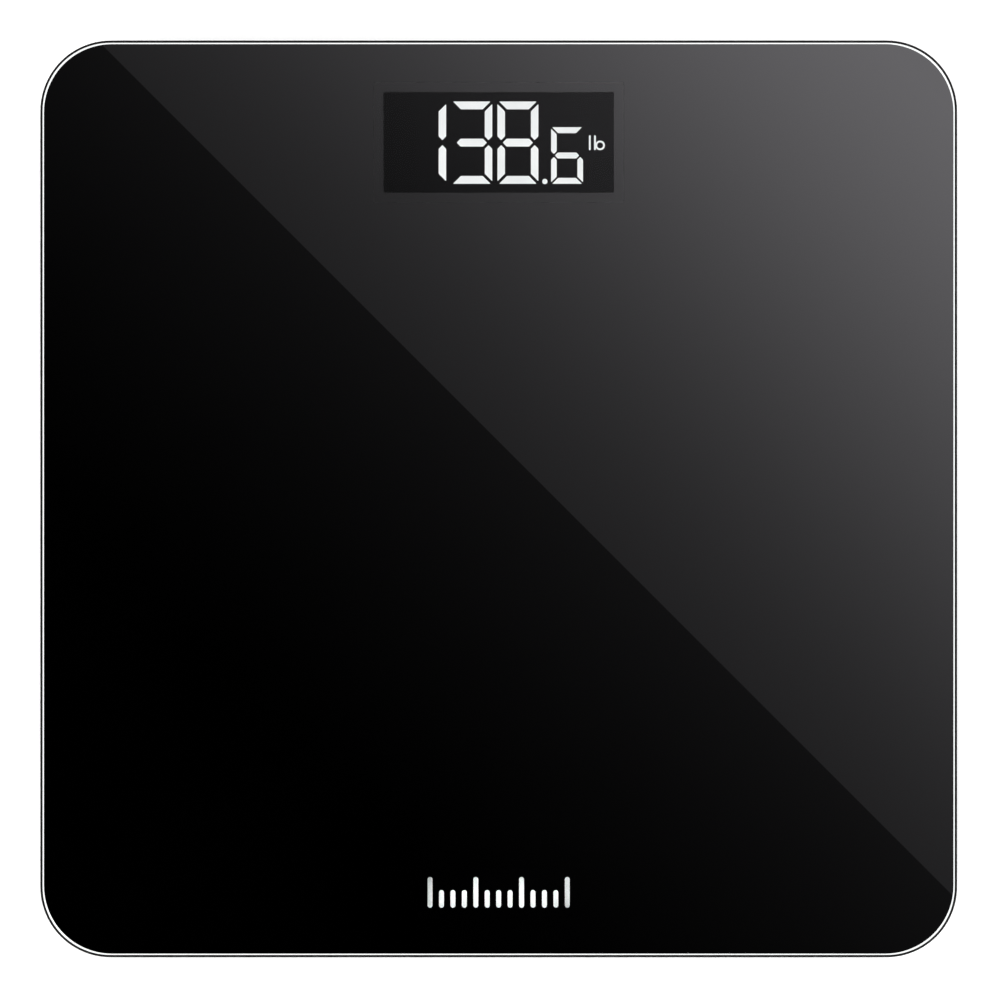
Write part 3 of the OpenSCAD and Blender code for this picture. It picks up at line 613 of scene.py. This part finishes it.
def paint_plastics():
    """Moulded parts, each with its colours, the size and depth of its grain, and its roughness."""
    tray = grained(
        "tray_plastic", (0.016, 0.017, 0.018), (0.024, 0.025, 0.027), 0.35 * MM, 0.03 * MM, (0.42, 0.62)
    )
    button = grained(
        "button_grey", (0.045, 0.048, 0.052), (0.065, 0.069, 0.074), 0.2 * MM, 0.01 * MM, (0.32, 0.45)
    )
    foot = grained(
        "foot_plastic", (0.02, 0.021, 0.023), (0.03, 0.032, 0.034), 0.25 * MM, 0.015 * MM, (0.34, 0.5)
    )
    white = grained(
        "white_plastic", (0.72, 0.73, 0.74), (0.8, 0.81, 0.82), 0.3 * MM, 0.01 * MM, (0.35, 0.5)
    )
    switch = grained(
        "switch_black", (0.02, 0.02, 0.022), (0.035, 0.035, 0.038), 0.15 * MM, 0.01 * MM, (0.5, 0.65)
    )
    plunger = grained(
        "switch_ivory", (0.64, 0.58, 0.48), (0.72, 0.67, 0.57), 0.15 * MM, 0.008 * MM, (0.4, 0.55)
    )
    resin = grained(
        "chip_resin", (0.004, 0.004, 0.005), (0.009, 0.009, 0.01), 0.8 * MM, 0.03 * MM, (0.12, 0.22)
    )
    paint(tray, "base_tray", "battery_cover")
    paint(button, "unit_button")
    paint(foot, *everywhere("foot_shell"))
    paint(white, "backlight_housing", "display_frame")
    paint(switch, "switch_case")
    paint(plunger, "switch_plunger")
    paint(resin, "controller_chip")


def paint_metals():
    """Plated and bare metal, each with its colours, its roughness and the width of its streaks."""
    zinc = metal("zinc_steel", (0.5, 0.52, 0.56), (0.64, 0.65, 0.66), (0.26, 0.42), 0.3 * MM)
    bright = metal("bright_steel", (0.66, 0.67, 0.69), (0.76, 0.77, 0.78), (0.1, 0.2), 0.2 * MM)
    solder = metal("solder", (0.6, 0.61, 0.63), (0.74, 0.75, 0.76), (0.15, 0.32), 0.5 * MM)
    paint(zinc, "board_screws", *everywhere("load_cell"))
    paint(bright, "contact_springs", "contact_plates", *everywhere("ball_stud"))
    paint(solder, "solder_joints")


def paint_wires():
    """The sheaths of the battery leads and of the load cells' leads."""
    paint(sheathed("red_wire", (0.45, 0.015, 0.01), (0.58, 0.03, 0.02)), "battery_lead_red")
    paint(sheathed("black_wire", (0.01, 0.01, 0.01), (0.02, 0.02, 0.021)), "battery_lead_black")
    paint(sheathed("sensor_wires", (0.5, 0.07, 0.06), (0.62, 0.11, 0.09)), *everywhere("sensor_lead"))


def paint_display():
    """What the window and the mark show, and the display behind the window."""
    panel = clear("lcd_glass", (0.86, 0.92, 0.91), 1.5, (0.0, 0.03), 2.4 * MM, 0.004 * MM)
    paint(panel, "lcd_front_glass", "lcd_back_glass")
    paint(black_print_material(), "back_print")
    paint(white_print_material(), "platform_mark")
    paint(segment_material(), "lit_segments")
    paint(polariser_material(), "front_polariser", "rear_polariser")
    paint(zebra_material(), "zebra_strips")
    paint(guide_material(), "light_guide")
    paint(led_material(), "backlight_leds")


def paint_inside():
    """The board, the batteries and the soft parts."""
    paint(board_material(), "circuit_board")
    paint(component_material(), "small_components")
    paint(battery_material(), "battery_1", "battery_2", "battery_3")
    paint(foam_material(), "bonding_tape", "display_gasket")
    paint(silicone_material(), *everywhere("gauge_potting"))
    paint(sole_rubber_material(), *everywhere("foot_pad"))


# ---------------------------------------------------------------- mesh helpers


def rounded_outline(half, radius, steps=24):
    """Points round a square with round corners, counter-clockwise from above."""
    points = []
    for x_side, y_side, turn in ((1, 1, 0), (-1, 1, 1), (-1, -1, 2), (1, -1, 3)):
        middle = Vector((x_side, y_side)) * (half - radius)
        for step in range(steps + 1):
            angle = math.pi / 2 * (turn + step / steps)
            points.append(middle + radius * Vector((math.cos(angle), math.sin(angle))))
    return points


def loft(rings, band_slots):
    """The side of a solid, through rings of points from the bottom up, and its loops of vertices."""
    made = bmesh.new()
    loops = [[made.verts.new(point) for point in ring] for ring in rings]
    for slot, below, above in zip(band_slots, loops, loops[1:]):
        for i in range(len(below)):
            j = (i + 1) % len(below)
            face = made.faces.new((below[i], below[j], above[j], above[i]))
            face.material_index = slot
            face.smooth = True
    return made, loops


def to_piece(name, made, materials):
    """Turns a bmesh into an object in the scene."""
    mesh = bpy.data.meshes.new(name)
    made.normal_update()
    made.to_mesh(mesh)
    made.free()
    for material in materials:
        mesh.materials.append(material)
    piece = bpy.data.objects.new(name, mesh)
    bpy.context.scene.collection.objects.link(piece)
    return piece


# ---------------------------------------------------------------- glass


def rectangle_over(made, name, margin):
    """Vertices of a rectangle in the top face, over a node and a margin round it."""
    low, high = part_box(name)
    west, east, south, north = low.x - margin, high.x + margin, low.y - margin, high.y + margin
    corners = ((west, south), (east, south), (east, north), (west, north))
    return [made.verts.new((x, y, PLATFORM_TOP)) for x, y in corners]


def fill_level(made, rim, holes, slot):
    """Fills a level loop of vertices, less the loops of its holes."""
    edges = []
    for loop in (rim, *holes):
        for pair in zip(loop, loop[1:] + loop[:1]):
            edges.append(made.edges.get(pair) or made.edges.new(pair))
    filled = bmesh.ops.triangle_fill(made, use_beauty=True, edges=edges, normal=(0, 0, 1))
    for face in filled["geom"]:
        if isinstance(face, bmesh.types.BMFace):
            face.material_index = slot


def plate_loft(side, bevel, facet):
    """The plate's back edge, side wall, bevel and facet, without its two faces."""
    profile = [
        (BEVEL_W, GLASS_LOW.z - BEHIND_PRINT),
        (BEVEL_W, GLASS_LOW.z),
        (0.2 * BEVEL_W, GLASS_LOW.z + 0.6 * BEVEL_W),
        (0.0, GLASS_LOW.z + BEVEL_W),
        (0.0, PLATFORM_TOP - BEVEL_H),
        (0.25 * BEVEL_W, PLATFORM_TOP - 0.7 * BEVEL_H),
        (BEVEL_W, PLATFORM_TOP - FACET_H),
    ]
    rings = [
        [(p.x, p.y, z) for p in rounded_outline(PLATFORM_W / 2 - inset, CORNER_R - inset)]
        for inset, z in profile
    ]
    inner_line = rounded_outline(PLATFORM_W / 2 - FACET_W, CORNER_R - FACET_W + FACET_ROUNDING)
    rings.append([(p.x, p.y, PLATFORM_TOP) for p in inner_line])
    return loft(rings, [side] * 4 + [bevel] * 2 + [facet])


def build_glass():
    """The plate, with its ground edge, and its top clear over the window and the mark."""
    side, bevel, facet, back, black, clear_glass, window = range(7)
    made, loops = plate_loft(side, bevel, facet)
    made.faces.new(list(reversed(loops[0]))).material_index = back
    over_window = rectangle_over(made, "display_gasket", -GASKET_W)
    round_window = rectangle_over(made, "display_gasket", PANE_MARGIN - GASKET_W)
    over_mark = rectangle_over(made, "platform_mark", PANE_MARGIN)
    fill_level(made, loops[-1], [round_window, over_mark], black)
    fill_level(made, round_window, [over_window], clear_glass)
    fill_level(made, over_window, [], window)
    fill_level(made, over_mark, [], clear_glass)
    materials = [
        ground_side_material(),
        dark_bevel_material(),
        ground_facet_material(),
        glass_back_material(),
        black_glass_material(),
        glass_material("platform_clear", 1.0),
        glass_material("platform_window", 0.0),
    ]
    plate = to_piece("glass_plate", made, materials)
    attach(plate, "base")
    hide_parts("glass_platform")


# ---------------------------------------------------------------- stage, light and camera

# At the plate's top, the view is this wide, and its middle lies this far from the plate's own.
VIEW_W = 305.18 * MM
VIEW_MIDDLE = Vector((0.4, -0.34, 0)) * MM
LENS, SENSOR = 200, 36
CAMERA_UP = VIEW_W * LENS / SENSOR
FLOOR_W = 8
SKY_W, SKY_UP = 1.4, 2.1
LAMP_UP, LAMP_POWER = 1.5, 36
LAMP_SIZE = (1.2, 0.8)


def build_camera():
    """Straight above the platform, from far enough away that its sides stay out of sight."""
    data = bpy.data.cameras.new("camera")
    data.lens = LENS
    data.sensor_width = SENSOR
    data.clip_end = 20
    camera = bpy.data.objects.new("camera", data)
    camera.location = VIEW_MIDDLE + Vector((0, 0, PLATFORM_TOP + CAMERA_UP))
    bpy.context.scene.collection.objects.link(camera)
    bpy.context.scene.camera = camera


def flat_piece(name, width, z, material):
    """A level square that belongs to the stage."""
    made = bmesh.new()
    corners = ((-1, -1), (1, -1), (1, 1), (-1, 1))
    made.faces.new([made.verts.new((x * width / 2, y * width / 2, z)) for x, y in corners])
    piece = to_piece(name, made, [material])
    return piece


def floor_material():
    """Pale, matt, and open from below so that the underside can be seen."""
    material, tree = new_material("floor")
    shade = noise(tree, 0.4, 2)
    pale = mottled(tree, shade, (0.91, 0.91, 0.91), (0.93, 0.93, 0.93))
    matt = add(tree, "ShaderNodeBsdfDiffuse", Color=pale)
    opening = add(tree, "ShaderNodeBsdfTransparent")
    below = add(tree, "ShaderNodeNewGeometry").outputs["Backfacing"]
    mixed = add(tree, "ShaderNodeMixShader", _0=below, _1=matt.outputs[0], _2=opening.outputs[0])
    return finish_material(material, tree, mixed.outputs[0])


# The tone of the reflection on the plate, as screen values, by the distance along the plate's
# rising diagonal (x + y, in metres): the bright side climbs away from an edge, the dim side fades
EDGE_AT = 17.5 * MM
BRIGHT_FROM, BRIGHT_TO, BRIGHT_RUN = 32.5 / 255, 99.5 / 255, 239 * MM
EASED = 0.35
DIM_FROM, DIM_RUN, DIM_FADE = 16.5 / 255, 164 * MM, 1.65
SKY_COLOUR = (1.01, 0.985, 1.038, 1)


def ramp(tree, value, run, low, high, kind="LINEAR"):
    """Climbs from low to high while value climbs from 0 to run."""
    node = add(
        tree,
        "ShaderNodeMapRange",
        {"interpolation_type": kind},
        Value=value,
        From_Max=run,
        To_Min=low,
        To_Max=high,
    )
    return node.outputs["Result"]


def screen_to_light(tree, screen):
    """Turns a screen value from 0 to 1 into the light it stands for."""
    straight = maths(tree, "DIVIDE", screen, 12.92)
    curved = maths(tree, "POWER", maths(tree, "MULTIPLY_ADD", screen, 1 / 1.055, 0.055 / 1.055), 2.4)
    in_curve = maths(tree, "GREATER_THAN", screen, 0.04045)
    rest = maths(tree, "MULTIPLY", maths(tree, "SUBTRACT", curved, straight), in_curve)
    return maths(tree, "ADD", straight, rest)


def sky_material():
    """The reflector over the platform: dim on one side of a diagonal edge, bright on the other."""
    material, tree = new_material("sky_reflector")
    reach = 1 + SKY_UP / CAMERA_UP
    x, y = place_parts(tree)[:2]
    along = maths(tree, "DIVIDE", maths(tree, "ADD", x, y), reach)
    past = maths(tree, "SUBTRACT", along, EDGE_AT)
    steady = ramp(tree, past, BRIGHT_RUN, BRIGHT_FROM * (1 - EASED), BRIGHT_TO * (1 - EASED))
    eased = ramp(tree, past, BRIGHT_RUN, BRIGHT_FROM * EASED, BRIGHT_TO * EASED, "SMOOTHSTEP")
    bright = maths(tree, "ADD", steady, eased)
    left = ramp(tree, maths(tree, "MULTIPLY", past, -1.0), DIM_RUN, 1.0, 0.0)
    dim = maths(tree, "MULTIPLY", maths(tree, "POWER", left, DIM_FADE), DIM_FROM)
    on_bright_side = maths(tree, "GREATER_THAN", past, 0.0)
    extra = maths(tree, "MULTIPLY", maths(tree, "SUBTRACT", bright, dim), on_bright_side)
    light = screen_to_light(tree, maths(tree, "ADD", dim, extra))
    strength = maths(tree, "DIVIDE", light, PLATE_MIRRORS)
    glow = add(tree, "ShaderNodeEmission", Color=SKY_COLOUR, Strength=strength)
    return finish_material(material, tree, glow.outputs[0])


def build_stage():
    """The floor lets bounced light through, so that the underside isn't left in the dark."""
    floor = flat_piece("floor", FLOOR_W, 0, floor_material())
    floor.visible_diffuse = False
    floor.visible_glossy = False
    sky = flat_piece("sky_reflector", SKY_W, PLATFORM_TOP + SKY_UP, sky_material())
    sky.visible_camera = False
    sky.visible_diffuse = False
    sky.visible_shadow = False


def build_world():
    """Even white studio light, a little dimmer towards the horizon."""
    world = bpy.data.worlds.new("studio")
    world.use_nodes = True
    tree = world.node_tree
    tree.nodes.clear()
    toward = add(tree, "ShaderNodeTexCoord").outputs["Generated"]
    up = add(tree, "ShaderNodeSeparateXYZ", Vector=toward).outputs[2]
    strength = spread(tree, up, 1.1, 1.45, 0.0, 1.0)
    light = add(tree, "ShaderNodeBackground", Color=(1, 1, 1, 1), Strength=strength)
    output = add(tree, "ShaderNodeOutputWorld")
    tree.links.new(light.outputs[0], output.inputs["Surface"])
    bpy.context.scene.world = world


def build_lights():
    """Two big soft lamps, low enough that the platform doesn't mirror them into the camera."""
    for x, y in ((-1.6, -1.2), (1.7, 1.3)):
        data = bpy.data.lights.new("softbox", "AREA")
        data.shape = "RECTANGLE"
        data.size, data.size_y = LAMP_SIZE
        data.energy = LAMP_POWER
        lamp = bpy.data.objects.new("softbox", data)
        lamp.location = (x, y, LAMP_UP)
        lamp.rotation_euler = (-lamp.location).to_track_quat("-Z", "Y").to_euler()
        bpy.context.scene.collection.objects.link(lamp)


# ---------------------------------------------------------------- the scene

build_glass()
paint_plastics()
paint_metals()
paint_wires()
paint_display()
paint_inside()
soften(0.25 * MM, "base_tray", "battery_cover")
soften(0.15 * MM, "unit_button", *everywhere("foot_shell", "foot_pad"))
blunt_tips("lit_segments", 0.3 * MM)
build_world()
build_lights()
build_stage()
build_camera()
bpy.context.scene.view_settings.view_transform = "Standard"
